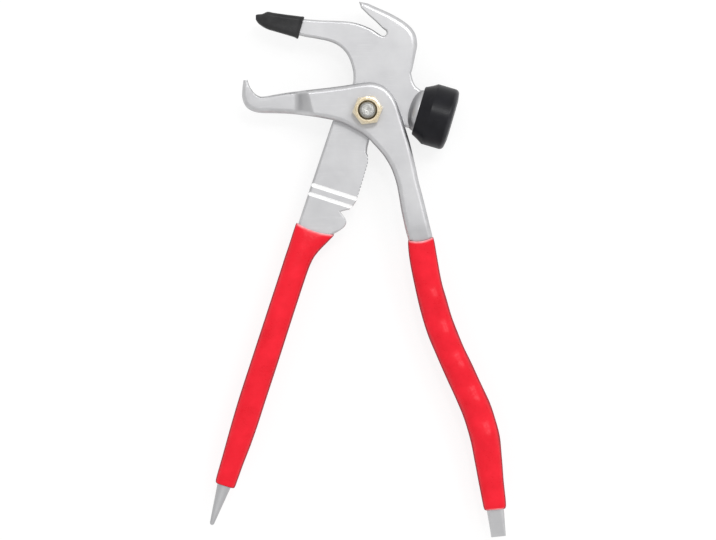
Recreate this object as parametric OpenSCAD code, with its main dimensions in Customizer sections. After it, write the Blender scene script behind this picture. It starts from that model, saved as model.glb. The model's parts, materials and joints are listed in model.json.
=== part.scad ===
// Wheel weight pliers, laid flat: +X to the right, +Y toward the claw, +Z up toward the nut.
// Two crossed forged levers turn on one pivot bolt. The main lever carries the booted jaw, the claw,
// the hammer and the punch; the hook lever carries the hook, the shear edge and the pry blade.

/* [Levers] */
// Thickness of each forged lever
lever_t = 6; // [4:0.1:8]
// Air gap between the faces of the crossed levers
lever_gap = 0.1; // [0.05:0.05:0.3]
// Radius of the round hub that both levers have about the pivot
hub_r = 13.9; // [13:0.1:16]
// Rounding of the main lever's edges
edge_r = 1.2; // [0.5:0.1:1.4]
// Rounding of the hook lever's edges
hook_edge_r = 1.6; // [0.8:0.1:2]
// Angle of the main handle from the Y axis
main_lean = 17.8; // [16:0.1:20]

/* [Head] */
// Reach of the main jaw from the pivot, to the left
jaw_reach = 51; // [46:0.1:62]
// Height of the claw tip above the pivot
claw_h = 53; // [50:0.5:60]
// Radius of the round bottom of the weight-pulling notch under the claw
notch_r = 1.7; // [1.2:0.1:2.2]
// Reach of the hook from the pivot, to the left
hook_reach = 61; // [58:0.5:66]

/* [Shear edge] */
// Width of the ground bevel along the shear edge
bevel_w = 2; // [1:0.1:2.5]
// Distance from one serration to the next
tooth_pitch = 1.6; // [1.2:0.1:2.5]
// Depth of the serrations
tooth_depth = 0.5; // [0.3:0.1:0.8]
// Depth of the two grooves ground across the shank
groove_depth = 0.6; // [0.3:0.1:1.2]

/* [Pivot] */
// Diameter of the pivot bolt
bolt_d = 8; // [6:0.1:10]
// Radial clearance between the bolt and both levers
pivot_clear = 0.05; // [0.03:0.01:0.1]
// Hexagon of the bolt head and nut, across the flats
hex_af = 13; // [11:0.5:16]
// Height of the bolt head
bolt_head_h = 5.3; // [3:0.1:7]
// Height of the nut
nut_h = 6.5; // [4:0.1:8]
// Length of bolt that stands out of the nut
bolt_proud = 1.5; // [0.5:0.1:4]

/* [Hammer] */
// Diameter of the nylon hammer cap
hammer_d = 30.2; // [26:0.2:36]
// Length of the nylon hammer cap
hammer_l = 16.7; // [15:0.1:22]
// Diameter of the collar that the cap screws up against
collar_d = 20.4; // [16:0.2:22]
// Distance of the collar's seat from the pivot, along the hammer's axis
collar_at = 23.6; // [22:0.1:27]
// Diameter of the stud that holds the cap
stud_d = 5; // [3.5:0.25:5.25]
// Length of stud inside the collar and inside the cap, each
stud_bite = 8; // [6:0.5:10]

/* [Handles] */
// Length of the main grip
main_grip_l = 133; // [110:0.1:160]
// Length of the punch that stands out of the main grip
punch_l = 19.5; // [12:0.5:30]
// Diameter of the punch where it leaves the grip
punch_d = 6.3; // [5:0.1:8]
// Diameter of the punch at its tip
punch_tip_d = 1.6; // [1:0.1:3]
// Length of the hook grip, measured straight down
hook_grip_l = 131.5; // [110:0.1:158]
// Length of the pry blade that stands out of the hook grip
blade_l = 14; // [8:0.5:24]
// Thickness of the grips at their middle
grip_t = 12.6; // [11:0.1:16]
// Height of the finger swells on the hook grip
swell_h = 0.5; // [0:0.1:1]

/* [Jaw boot] */
// Length of the rubber boot on the jaw
boot_l = 23; // [16:0.5:26]
// Rubber around the jaw
boot_wall = 1.3; // [1:0.1:2]

/* [Fits] */
// Clearance between a sleeve or boot and the steel inside it
sleeve_clear = 0.1; // [0.05:0.05:0.3]
// Clearance of the stud in its threads
thread_clear = 0.05; // [0.03:0.01:0.1]

/* [Hidden] */
steel = "#d2d2d4";
red = "#e8202e";
black = "#26262a";
zinc = "#c9c3a8";

// The pivot's place over the point on the table below the middle of the tool
pivot_at = [4.4, 77, hammer_d / 2];

// Heights about the middle of the main lever, which is also the height of the hammer's axis
face_z = lever_t / 2;
front_z = face_z + lever_gap;
front_mid = front_z + lever_t / 2;
nut_z = front_z + lever_t + lever_gap;

// The hammer's axis: its lean below the X axis, and the pivot's distance under it
hammer_lean = 16.5;
hammer_off = 7.2;

// Curves. A spline passes through every point in its list, with steps points in each stretch
function before(p, i) = i > 0 ? p[i - 1] : 2 * p[0] - p[1];
function after(p, i) = i + 2 < len(p) ? p[i + 2] : 2 * p[i + 1] - p[i];
function cubic(a, b, c, d, u) =
    b + (c - a) * u / 2 + (2 * a - 5 * b + 4 * c - d) * u * u / 2
      + (3 * b - a - 3 * c + d) * u * u * u / 2;
function spline(p, steps) = [
    for (i = [0 : len(p) - 2], j = [0 : steps - 1])
        cubic(before(p, i), p[i], p[i + 1], after(p, i), j / steps),
    p[len(p) - 1]
];
function arc(c, r, from, to, steps) = [
    for (i = [0 : steps])
        c + r * [cos(from + (to - from) * i / steps), sin(from + (to - from) * i / steps)]
];
function unit(v) = v / norm(v);
function turned(v) = [-v.y, v.x];

// Mitre of two neighbouring sides at point i of a closed outline that runs anticlockwise
function mitre(p, i) =
    let (n = len(p), a = p[(i + n - 1) % n], b = p[i], c = p[(i + 1) % n],
         m = turned(unit([b.x - a.x, b.y - a.y])),
         k = turned(unit([c.x - b.x, c.y - b.y])))
    (m + k) / (1 + m * k);

// Twice the signed area of a triangle, positive where its corners run anticlockwise
function twice_area(a, b, c) = (b.x - a.x) * (c.y - a.y) - (c.x - a.x) * (b.y - a.y);
function covers_point(a, b, c, q) =
    twice_area(a, b, q) >= 0 && twice_area(b, c, q) >= 0 && twice_area(c, a, q) >= 0;
// Is corner k of the outline left over an ear, which can be cut off as one triangle?
function is_ear(p, left, k) =
    let (n = len(left), i = left[(k + n - 1) % n], j = left[k], l = left[(k + 1) % n])
    twice_area(p[i], p[j], p[l]) > 0.0001
        && len([for (q = left) if (q != i && q != j && q != l
                                   && covers_point(p[i], p[j], p[l], p[q])) q]) == 0;
function next_ear(p, left, k) = is_ear(p, left, k % len(left)) ? k % len(left) : next_ear(p, left, k + 1);
// Triangles that fill an outline, each three places in its list of points
function filled(p, left, from = 0) =
    len(left) == 3 ? [left] :
    let (n = len(left), k = next_ear(p, left, from + 1))
    concat([[left[(k + n - 1) % n], left[k], left[(k + 1) % n]]],
           filled(p, [for (i = [0 : n - 1]) if (i != k) left[i]], k));

// Solid whose rings all have n points, closed by triangles that fill its first and last rings
function ring_faces(rings, n, cap) = concat(
    cap,
    [for (k = [0 : rings - 2], i = [0 : n - 1], t = [0, 1])
        let (a = k * n + i, b = k * n + (i + 1) % n)
        t == 0 ? [a, b + n, b] : [a, a + n, b + n]],
    [for (t = cap) [for (j = [2, 1, 0]) (rings - 1) * n + t[j]]]
);
module rings_solid(rings, cap = undef) {
    n = len(rings[0]);
    fan = [for (i = [1 : n - 2]) [0, i, i + 1]];
    polyhedron(points = [for (r = rings) each r],
               faces = ring_faces(len(rings), n, is_undef(cap) ? fan : cap));
}

// Flat plate whose outline is a list of points, with its edges rounded to radius r
module plate(outline, bottom, top, r) {
    lean = [for (i = [0 : len(outline) - 1]) mitre(outline, i)];
    function drawn(z, by) = [for (i = [0 : len(outline) - 1])
        [outline[i].x + lean[i].x * by, outline[i].y + lean[i].y * by, z]];
    rings_solid(concat(
        [for (a = [90 : -30 : 0]) drawn(bottom + r * (1 - cos(90 - a)), r * (1 - cos(a)))],
        [for (a = [0 : 30 : 90]) drawn(top - r * (1 - cos(90 - a)), r * (1 - cos(a)))]),
        filled(drawn(top, r), [for (i = [0 : len(outline) - 1]) i]));
}

// Section across a lever or grip: a rectangle with rounded corners, as points [across, up]
function rounded_section(w, t, r) = [
    for (corner = [0 : 3], a = [0, 30, 60, 90])
        let (dir = 90 * corner + a,
             sx = corner == 0 || corner == 3 ? 1 : -1,
             sz = corner < 2 ? 1 : -1)
        [sx * (w / 2 - r) + r * cos(dir), sz * (t / 2 - r) + r * sin(dir)]
];

// A station is [inner x, inner y, outer x, outer y, middle height, thickness]. Its plan follows
// a spline and its height and thickness ease from one station to the next
function eased(a, b, u) = a + (b - a) * u * u * (3 - 2 * u);
function stations(p, steps) = [
    for (i = [0 : len(p) - 2], j = [0 : i == len(p) - 2 ? steps : steps - 1])
        let (u = j / steps, q = cubic(before(p, i), p[i], p[i + 1], after(p, i), u))
        [q[0], q[1], q[2], q[3], eased(p[i][4], p[i + 1][4], u), eased(p[i][5], p[i + 1][5], u)]
];
function station_w(s) = norm([s[2] - s[0], s[3] - s[1]]);
// Ring of one station: section points carried on the line from its inner to its outer edge
function station_ring(s, section, dip = 0) =
    let (mid = [s[0] + s[2], s[1] + s[3]] / 2,
         across = unit([s[2] - s[0], s[3] - s[1]]),
         along = turned(across))
    [for (q = section)
        let (p = mid + across * q.x + along * (q.x * q.x * dip))
        [p.x, p.y, s[4] + q.y]];
function lever_ring(s, r, clear) =
    let (w = station_w(s) + 2 * clear, t = s[5] + 2 * clear)
    station_ring(s, rounded_section(w, t, min(r, 0.45 * t, 0.45 * w)));

// Main handle: s runs down its middle line from beside the grip's mouth, q across to the right
handle_0 = [-30.1, -60];
down = [-sin(main_lean), -cos(main_lean)];
right = [cos(main_lean), -sin(main_lean)];
function on_handle(s, q) = handle_0 + s * down + q * right;
mouth_s = -4.3;
grip_end_s = mouth_s + main_grip_l;
tang_end_s = grip_end_s - 12;
shank_left = -4.3;

// Main lever
// Jaw and throat, from the jaw's tip along its underside and down to the hidden hub
jaw_in = -jaw_reach;
throat = concat(
    [[jaw_in, 42.6], [jaw_in + 1.5, 41.9]],
    spline([[jaw_in + 9, 39.4], [-32, 36.8], [-25, 35.6], [-19, 34.5], [-14.6, 32.8],
            [-11.4, 30.2], [-9, 26.9], [-7.4, 22.5], [-6.6, 17.5], [-7.2, 12],
            [-10.4, 6.4], [-14.2, 1], [-17, -5.5]], 2)
);
// Left edge of the shank and the tang inside the grip
tang_left = [on_handle(-6, shank_left), on_handle(15, shank_left), on_handle(tang_end_s, -3.1)];
tang_right = concat(
    [on_handle(tang_end_s, 3.1)],
    spline([on_handle(40, 4.2), on_handle(19, 4.3), on_handle(12, 4.9), on_handle(6, 6.6),
            on_handle(1, 9.2), on_handle(-2.6, 11.9), on_handle(-4.7, 13.2)], 2)
);
// Bump and V notch just above the grip, for crimping
notch_side = [[-13.4, -58], [-11.6, -56.6], [-10.6, -55.2], [-10.4, -53.8], [-11.4, -52.2],
              [-13, -50.6], [-13.9, -49.1], [-12, -48.6], [-8.8, -47.9], [-6.8, -46]];
// Shear edge, from the V notch up to the hub, and the serrations along it
shear_knots = [[-5.6, -43.9], [-3.9, -39], [-2.2, -33.5], [-0.7, -28.5], [0.2, -25], [0.2, -22]];
shear = spline(shear_knots, 3);
hub_start = -86;
hub = arc([0, 0], hub_r, hub_start, -36, 7);
// Neck to the hammer's collar, given along and across the hammer's axis
axis_dir = [cos(hammer_lean), -sin(hammer_lean)];
axis_up = [sin(hammer_lean), cos(hammer_lean)];
function on_axis(u, r) = u * axis_dir + (r + hammer_off) * axis_up;
collar_r = collar_d / 2;
neck = concat(
    [on_axis(collar_at - 3.4, -collar_r + 0.8), on_axis(collar_at - 0.6, -collar_r + 1),
     on_axis(collar_at - 0.6, collar_r - 1), on_axis(collar_at - 2.2, collar_r - 0.2)],
    spline([on_axis(collar_at - 4.4, collar_r + 0.6), on_axis(collar_at - 6.4, collar_r + 2.6),
            [20.9, 18.2]], 2)
);
// Claw: outer edge up to the tip, then its underside down to the notch
claw_tip = [-4, claw_h];
claw_out = spline([[21.5, 20.4], [22.9, 27.5], [23.7, 32.5], [22.5, 37.7], [18.7, 42.1], [11.5, 46.8],
                   [4, 50.3], [0, claw_h - 0.7]], 2);
claw_under = spline([[-2.6, claw_h - 3.3], [0.9, 46.3], [4.2, 43.4], [7.6, 40.2]], 2);
notch_c = [7.9, 38];
notch = arc(notch_c, notch_r, 40, -120, 6);
jaw_top = spline([[5.3, 37.7], [1.4, 39.9], [-3.5, 41.7], [-8.5, 42.9], [-15, 43.3], [-22, 43.5],
                  [-30, 44.2], [jaw_in + 4, 46]], 2);
main_outline = concat(
    throat, tang_left, tang_right, notch_side, shear, [[-0.3, -20.4], [0, -17.5]], hub, neck,
    claw_out, [claw_tip], claw_under, notch, jaw_top, [[jaw_in + 0.6, 45.6]]
);
// The pieces on the hammer's axis are turned about Z, then laid along that axis
module along_hammer() {
    rotate([0, 0, -hammer_lean])
        translate([0, hammer_off, 0])
            rotate([0, 90, 0])
                children();
}
// Solid turned about Z, as rings: each profile point is [radius, height]
function turned_rings(profile, sides) = [
    for (p = profile)
        [for (i = [0 : sides - 1]) [p.x * cos(360 * i / sides), p.x * sin(360 * i / sides), p.y]]
];
// Domed collar at the end of the neck
dome_h = 5.4;
module collar() {
    rings_solid(turned_rings(concat(
        [for (a = [8, 22, 36, 50, 64, 78, 90])
            [collar_r * sin(a), collar_at - dome_h * cos(a) * (1 - 0.15 * cos(a))]]), 40));
}
// Length of the serrated stretch and the place of serration i on it
shear_l = norm(shear_knots[5] - shear_knots[0]);
teeth = floor(shear_l / tooth_pitch) - 1;
function on_shear(f) =
    let (k = f * (len(shear) - 1), i = min(floor(k), len(shear) - 2))
    shear[i] + (k - i) * (shear[i + 1] - shear[i]);
module serrations() {
    for (i = [0 : teeth - 1])
        let (f = (i + 0.7) / teeth, p = on_shear(f),
             way = on_shear(min(1, f + 0.02)) - on_shear(f - 0.02))
        translate([p.x, p.y, 0])
            rotate([0, 0, atan2(way.y, way.x)])
                linear_extrude(height = 2 * lever_t, center = true)
                    polygon([[0, tooth_depth], [-tooth_pitch / 2.2, -0.3], [tooth_pitch / 2.2, -0.3]]);
}
// Ground bevel on the front of the shear edge, one flat to each pair of knots
module shear_bevel() {
    for (i = [0 : len(shear_knots) - 2])
        let (a = shear_knots[i], way = shear_knots[i + 1] - a)
        translate([a.x, a.y, face_z - bevel_w])
            rotate([0, 0, atan2(way.y, way.x)])
                rotate([45, 0, 0])
                    translate([-0.4, -4 * bevel_w, 0])
                        cube([norm(way) + 0.8, 8 * bevel_w, 3 * bevel_w]);
}
// The two grooves, each [distance down the handle, width]
grooves = [[-25.4, 1.9], [-20.9, 1.4]];
module shank_grooves() {
    for (g = grooves)
        translate(concat(on_handle(g[0], 5), face_z + 1 - groove_depth / 2))
            rotate([0, 0, -main_lean])
                cube([40, g[1], groove_depth + 2], center = true);
}
// Round punch at the end of the tang, with a rounded tip
punch_in = 18;
module punch() {
    tip_r = punch_tip_d / 2;
    l = punch_in + punch_l;
    translate(concat(on_handle(grip_end_s - punch_in, 0), 0))
        rotate([0, 0, -main_lean])
            rotate([90, 0, 0])
                rings_solid(turned_rings(concat(
                    [[punch_d / 2 - 0.5, 0], [punch_d / 2, 2], [punch_d / 2, punch_in]],
                    [for (a = [0 : 22 : 66]) [tip_r * cos(a), l - tip_r + tip_r * sin(a)]]), 32));
}
// The flat forging with everything that is ground into its face and shear edge
module ground_plate() {
    difference() {
        plate(main_outline, -face_z, face_z, edge_r);
        shear_bevel();
        serrations();
        shank_grooves();
    }
}
module main_lever_body() {
    difference() {
        union() {
            ground_plate();
            along_hammer() collar();
            punch();
        }
        cylinder(h = 3 * lever_t, r = bolt_d / 2 + pivot_clear, center = true, $fn = 64);
        along_hammer()
            translate([0, 0, collar_at - stud_bite])
                cylinder(h = 2 * stud_bite, r = stud_d / 2 + thread_clear, $fn = 48);
    }
}

// Hook lever
// Stations from the hook's tip along the arm, round the hub, down the shank and tang to the blade
hx = 61 - hook_reach;
gy = hook_grip_l / 131.5;
function down_grip(y) = -61.5 - (y - 61.5) * gy;
hook_run = [
    [hx - 59.4, 15.1, hx - 58.7, 14.7, 0, 1.6], [hx - 60.7, 11, hx - 57.3, 11.6, 0, 3],
    [hx - 60.9, 6.6, hx - 55.8, 9.2, 0, 4.4], [hx - 59.4, 2.5, hx - 54.3, 7.9, 0, 5.4],
    [hx - 56.4, 0.2, hx - 52.6, 6.9, 0, lever_t], [-52, -0.9, -50.3, 6.7, 0, lever_t],
    [-45, -1, -45, 7.6, 0, lever_t], [-40, -1.2, -40, 8.5, 0, lever_t],
    [-33.6, -1.9, -34.8, 9.2, 0, lever_t], [-27.6, -2.7, -30.6, 9.7, front_mid, lever_t]
];
hub_run = [
    [-22, -3.6, -23, 10.5, front_mid, lever_t], [-16, -4.8, -15.5, 11.4, front_mid, lever_t],
    [-10.5, -6.8, -8.5, 12.4, front_mid, lever_t], [-6.5, -8.9, -2.5, 13.4, front_mid, lever_t],
    [-3.5, -10.6, 3.4, 13.5, front_mid, lever_t], [-1.3, -12, 9, 11, front_mid, lever_t],
    [0.6, -13.6, 13.4, 5.5, front_mid, lever_t], [2.6, -15.8, 16.2, -2, front_mid, lever_t],
    [5.3, -18.7, 18.8, -10, front_mid, lever_t], [8.6, -22.9, 21, -17.5, front_mid, lever_t],
    [11.8, -28.7, 23.5, -26.5, front_mid, lever_t], [14, -35.3, 25, -34.4, front_mid, lever_t],
    [15.3, -42, 26.6, -41.2, front_mid, lever_t], [16.3, -48.6, 28.1, -47.2, front_mid, lever_t]
];
// The grip's own stations; the tang follows them, drawn in by the grip's wall
grip_run = [
    [19.3, -62.6, 31.8, -60.9], [20.8, -73.5, 33.5, -71.2], [23, -85.5, 35.9, -83],
    [26, -97, 38.9, -93.3], [29.7, -108.2, 42.3, -103.3], [34.2, -119, 46.9, -113.8],
    [39, -129.7, 51.8, -124], [43.6, -140.2, 56.6, -134.5], [47.3, -149.5, 60.7, -144.9],
    [50, -160, 63.7, -157.2], [52.2, -170, 64.9, -168.5], [54.2, -180, 65.9, -179],
    [56, -189.8, 67, -189.2], [56.4, -193, 67.2, -192.6]
];
// Grip wall at each side of the tang, and how much the grip is thinner than at its middle
grip_wall = [0.6, 1.5, 2, 2.1, 2.1, 2.1, 2.1, 2.1, 2.2, 2.2, 2, 1.8, 1.4, 1.3];
hook_grip_thin = [3, 1.2, 0, 0, 0, 0, 0, 0, 0, 0, 1.2, 1.6, 2.6, 4];
grip_z = [front_mid * 0.55, front_mid * 0.15, 0];
function z_at(i) = i < 2 ? grip_z[i] : 0;
function laid(s) = [s[0], down_grip(-s[1]), s[2], down_grip(-s[3])];
function drawn_in(s, wall) =
    let (k = wall / station_w(s))
    [s[0] + (s[2] - s[0]) * k, s[1] + (s[3] - s[1]) * k, s[2] - (s[2] - s[0]) * k, s[3] - (s[3] - s[1]) * k];
tang_t = 5.2;
tang_run = [for (i = [0 : len(grip_run) - 2])
    concat(drawn_in(laid(grip_run[i]), grip_wall[i]), z_at(i), i == 0 ? lever_t : tang_t)];
blade_y = down_grip(193);
blade_run = [
    [58, blade_y, 66, blade_y + 0.4, 0, 4.6],
    [59.8, blade_y - blade_l * 0.9, 67.1, blade_y - blade_l * 0.9, 0, 2],
    [60, blade_y - blade_l, 67.2, blade_y - blade_l, 0, 1.1]
];
lever_run = stations(concat(hook_run, hub_run, tang_run, blade_run), 3);
module hook_lever_body() {
    difference() {
        rings_solid([for (s = lever_run) lever_ring(s, hook_edge_r, 0)]);
        translate([0, 0, front_mid])
            cylinder(h = 2 * lever_t, r = bolt_d / 2 + pivot_clear, center = true, $fn = 64);
    }
}

// Pivot bolt and nut
hex_d = hex_af / cos(30);
bolt_top = nut_z + nut_h + bolt_proud;
// Hexagon with the corners turned down to a cone on the end at height h, or on both ends
module hex_blank(h, both) {
    turn_down = 0.7;
    intersection() {
        rotate([0, 0, 8])
            cylinder(h = h, d = hex_d, $fn = 6);
        union() {
            translate([0, 0, both ? turn_down : 0])
                cylinder(h = h - (both ? 2 : 1) * turn_down, d = hex_d + 0.2, $fn = 64);
            translate([0, 0, h - turn_down])
                cylinder(h = turn_down, d1 = hex_d + 0.2, d2 = hex_af - 0.2, $fn = 64);
            if (both)
                cylinder(h = turn_down, d1 = hex_af - 0.2, d2 = hex_d + 0.2, $fn = 64);
        }
    }
}
module pivot_bolt_body() {
    chamfer = 0.8;
    head_z = -face_z - lever_gap / 2;
    difference() {
        union() {
            translate([0, 0, head_z])
                mirror([0, 0, 1])
                    hex_blank(bolt_head_h, false);
            translate([0, 0, head_z])
                cylinder(h = bolt_top - head_z - chamfer, d = bolt_d, $fn = 64);
            translate([0, 0, bolt_top - chamfer])
                cylinder(h = chamfer, d1 = bolt_d, d2 = bolt_d - 2 * chamfer, $fn = 64);
        }
        translate([0, 0, bolt_top - 0.5])
            cylinder(h = 1, d1 = 1, d2 = 4, $fn = 32);
    }
}
module pivot_nut_body() {
    translate([0, 0, nut_z])
        difference() {
            hex_blank(nut_h, true);
            translate([0, 0, -1])
                cylinder(h = nut_h + 2, r = bolt_d / 2 + thread_clear, $fn = 64);
        }
}

// Hammer: the stud and the nylon cap, both turned about the hammer's axis
hammer_r = hammer_d / 2;
face_round = 2.2;
crown = 0.5;
flat_r = hammer_r - 5;
module hammer_stud_body() {
    along_hammer()
        translate([0, 0, collar_at - stud_bite + 0.3])
            cylinder(h = 2 * stud_bite - 0.6, d = stud_d, $fn = 48);
}
module hammer_cap_body() {
    shoulder = 5.8;
    seat = collar_at + 0.05;
    side_top = hammer_l - face_round;
    along_hammer()
        translate([0, 0, seat])
            difference() {
                rotate_extrude($fn = 96)
                    polygon(concat(
                        [[0, 0], [collar_r, 0], [collar_r + 1.4, 0.35]],
                        spline([[collar_r + 2.1, 0.9], [hammer_r - 1.4, shoulder - 2.2],
                                [hammer_r, shoulder]], 3),
                        arc([hammer_r - face_round, side_top], face_round, 0, 80, 5),
                        [[flat_r, hammer_l + crown], [0, hammer_l + crown]]
                    ));
                translate([0, 0, -1])
                    cylinder(h = stud_bite + 1, r = stud_d / 2 + thread_clear, $fn = 48);
            }
}

// Rubber boot on the jaw: rings across the jaw, from its open end to its blunt tip
boot_tip = 3.2;
boot_open = jaw_in - boot_tip + boot_l;
function boot_station(f, low, high, t) = [boot_open - f * boot_l, low, boot_open - f * boot_l, high, 0, t];
boot_t = lever_t + 2 * boot_wall;
boot_run = [
    boot_station(0, 34.9, 45.5, boot_t), boot_station(0.12, 35.7, 45.9, boot_t),
    boot_station(0.38, 37.2, 46.8, boot_t), boot_station(0.62, 38.8, 47.6, boot_t),
    boot_station(0.75, 39.7, 48.1, boot_t), boot_station(0.86, 41, 47.1, boot_t * 0.92),
    boot_station(0.95, 42.6, 46.9, boot_t * 0.8), boot_station(1, 44.2, 46.6, boot_t * 0.6)
];
module jaw_boot_body() {
    difference() {
        rings_solid([for (s = stations(boot_run, 3)) lever_ring(s, 1.6, 0)]);
        boot_cavity();
    }
}
module boot_cavity() {
    linear_extrude(height = lever_t + 2 * sleeve_clear, center = true)
        polygon([[jaw_in - 0.3, 42.3], [jaw_in + 1.4, 41.7], [jaw_in + 9, 39.2], [-32, 36.6],
                 [-25, 35.4], [-22, 34.9], [-22, 43.7], [-30, 44.4], [jaw_in + 4, 46.2],
                 [jaw_in + 0.2, 45.9]]);
}

// Grips: rings of a soft oval, with a cavity cut to the tang
oval_n = 24;
function oval(w, t, lobes) = [
    for (i = [0 : oval_n - 1])
        let (a = 360 * i / oval_n, p = 2 / 2.4)
        [w / 2 * sign(cos(a)) * pow(abs(cos(a)), p) * (1 + lobes * max(0, cos(a - 40)) / w),
         t / 2 * sign(sin(a)) * pow(abs(sin(a)), p) * (1 + lobes * max(0, cos(a - 40)) / t)]
];
// Strips across an oval of n points, each three places in its list of points
function strips(n) = concat(
    [[0, 1, n - 1], [n / 2 - 1, n / 2, n / 2 + 1]],
    [for (i = [1 : n / 2 - 2]) each [[i, i + 1, n - 1 - i], [i, n - 1 - i, n - i]]]
);
// The mouth's rim dips toward its middle, a little less on each ring down to the sixth
mouth_dip_h = 1.6;
function mouth_dip(s, i) = i > 6 ? 0 : mouth_dip_h * (1 - i / 6) / pow(station_w(s) / 2, 2);
// Main grip's edges at distance s down the handle: [s, left, right, thickness]
main_grip_run = [
    [mouth_s, -5.7, 13.7, 9], [1.2, -5.7, 11, 10.4], [7.5, -5.9, 7.8, 11.6], [13.2, -6.1, 6.5, 12.2],
    [21, -6.2, 6.2, grip_t], [40, -6.4, 6.1, grip_t], [61, -6.8, 6.1, grip_t],
    [83, -6.8, 5.9, grip_t], [95, -6.1, 5.9, grip_t - 0.5], [106, -5.4, 5.7, grip_t - 1.2],
    [116, -4.9, 5, grip_t - 2.2], [125, -4.5, 4.6, grip_t - 3], [grip_end_s - 0.8, -4.1, 4.3, grip_t - 3.6],
    [grip_end_s, -3.4, 3.5, grip_t - 5]
];
function handle_station(k) =
    let (l = on_handle(k[0], k[1]), r = on_handle(k[0], k[2]))
    [l.x, l.y, r.x, r.y, 0, k[3]];
module main_grip_body() {
    run = stations([for (k = main_grip_run) handle_station(k)], 3);
    difference() {
        rings_solid([for (i = [0 : len(run) - 1])
            let (s = run[i])
            station_ring(s, oval(station_w(s), s[5], 0), mouth_dip(s, i))], strips(oval_n));
        main_tang_cavity();
        translate(concat(on_handle(grip_end_s - punch_in - 1, 0), 0))
            rotate([0, 0, -main_lean])
                rotate([90, 0, 0])
                    cylinder(h = punch_in + 4, d = punch_d + 2 * sleeve_clear, $fn = 48);
    }
}
// Tang outline drawn out by the sleeve clearance
module main_tang_cavity() {
    left = [for (p = tang_left) p - sleeve_clear * right];
    side = [for (p = tang_right) p + sleeve_clear * right];
    linear_extrude(height = lever_t + 2 * sleeve_clear, center = true)
        polygon(concat([on_handle(-15, shank_left - sleeve_clear)], left,
                       [on_handle(tang_end_s + sleeve_clear, -3.1), on_handle(tang_end_s + sleeve_clear, 3.1)],
                       side, [on_handle(-15, 20)]));
}
// Finger swells: five along the hook grip, each one pitch long
swell_pitch = 16.9;
swell_from = -79.2;
function swell(y) =
    let (u = (swell_from - y) / swell_pitch)
    u < 0 || u > 5 ? 0 : swell_h * (1 - cos(360 * u));
module hook_grip_body() {
    run = stations([for (i = [0 : len(grip_run) - 1])
        concat(laid(grip_run[i]), z_at(i), grip_t - hook_grip_thin[i])], 4);
    difference() {
        rings_solid([for (i = [0 : len(run) - 1])
            let (s = run[i])
            station_ring(s, oval(station_w(s), s[5], swell((s[1] + s[3]) / 2)), mouth_dip(s, i))],
            strips(oval_n));
        rings_solid([for (s = lever_run) if (s[3] < -50) lever_ring(s, hook_edge_r, sleeve_clear)]);
    }
}

module placed(tint) {
    color(tint)
        translate(pivot_at)
            children();
}
module main_lever() { placed(steel) main_lever_body(); }
module hook_lever() { placed(steel) hook_lever_body(); }
module pivot_bolt() { placed(zinc) pivot_bolt_body(); }
module pivot_nut() { placed(zinc) pivot_nut_body(); }
module hammer_stud() { placed(steel) hammer_stud_body(); }
module hammer_cap() { placed(black) hammer_cap_body(); }
module jaw_boot() { placed(black) jaw_boot_body(); }
module main_grip() { placed(red) main_grip_body(); }
module hook_grip() { placed(red) hook_grip_body(); }

main_lever();
hook_lever();
pivot_bolt();
pivot_nut();
hammer_stud();
hammer_cap();
jaw_boot();
main_grip();
hook_grip();
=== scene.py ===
# %% [markdown]
# # Wheel weight pliers
# Two crossed steel forgings turn on one bolt. The lever behind carries a booted jaw, a claw, a nylon
# hammer cap and a punch. The lever in front carries a hook and a pry blade. Both handles have a red
# vinyl sleeve. The solids from CAD are loaded first and stay as they are: they hold the true sizes.
# Most of the visible pieces are then made again here as finer surfaces, each on the body that its
# solid belongs to.

# %% Load the frame
import json
import math

import bmesh
import bpy
import numpy as np
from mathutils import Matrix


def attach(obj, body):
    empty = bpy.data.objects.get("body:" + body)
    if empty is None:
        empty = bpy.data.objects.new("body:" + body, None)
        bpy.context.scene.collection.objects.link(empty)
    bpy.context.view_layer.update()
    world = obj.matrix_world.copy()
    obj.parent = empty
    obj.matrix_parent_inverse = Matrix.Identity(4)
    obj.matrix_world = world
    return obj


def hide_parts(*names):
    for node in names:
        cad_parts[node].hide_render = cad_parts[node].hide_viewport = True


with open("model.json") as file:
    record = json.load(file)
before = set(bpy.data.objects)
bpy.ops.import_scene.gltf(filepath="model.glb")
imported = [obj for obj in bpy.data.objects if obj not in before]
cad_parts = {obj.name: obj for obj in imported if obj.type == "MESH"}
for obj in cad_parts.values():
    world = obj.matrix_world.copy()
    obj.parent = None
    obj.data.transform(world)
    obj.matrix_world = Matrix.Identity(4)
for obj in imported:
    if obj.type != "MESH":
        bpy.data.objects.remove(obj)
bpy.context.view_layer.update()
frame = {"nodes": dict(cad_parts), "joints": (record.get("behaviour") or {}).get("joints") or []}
MM = 0.001
PIVOT = np.array(frame["joints"][0]["pos_m"]) / MM
print("pivot at", PIVOT.round(3), "mm; nodes", sorted(frame["nodes"]))

# %% [markdown]
# ## Curves and surfaces
# Every piece below is a stack of rings: closed outlines with the same number of points, one after
# the other. A handle is a stack along its length, a turned part a stack along its axis, and a flat
# plate a stack through its thickness. Whole stacks are worked out as numpy arrays, and one function
# turns a stack into a mesh. Lengths are in millimetres from the pivot until that last step.

# %% Directions and curves
def unit(v):
    """Each vector divided by its own length."""
    return v / np.linalg.norm(v, axis=-1, keepdims=True)


def turned(v):
    """Each plan direction (x, y) turned a quarter turn anticlockwise, to (-y, x)."""
    return np.stack([-v[..., 1], v[..., 0]], -1)


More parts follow.
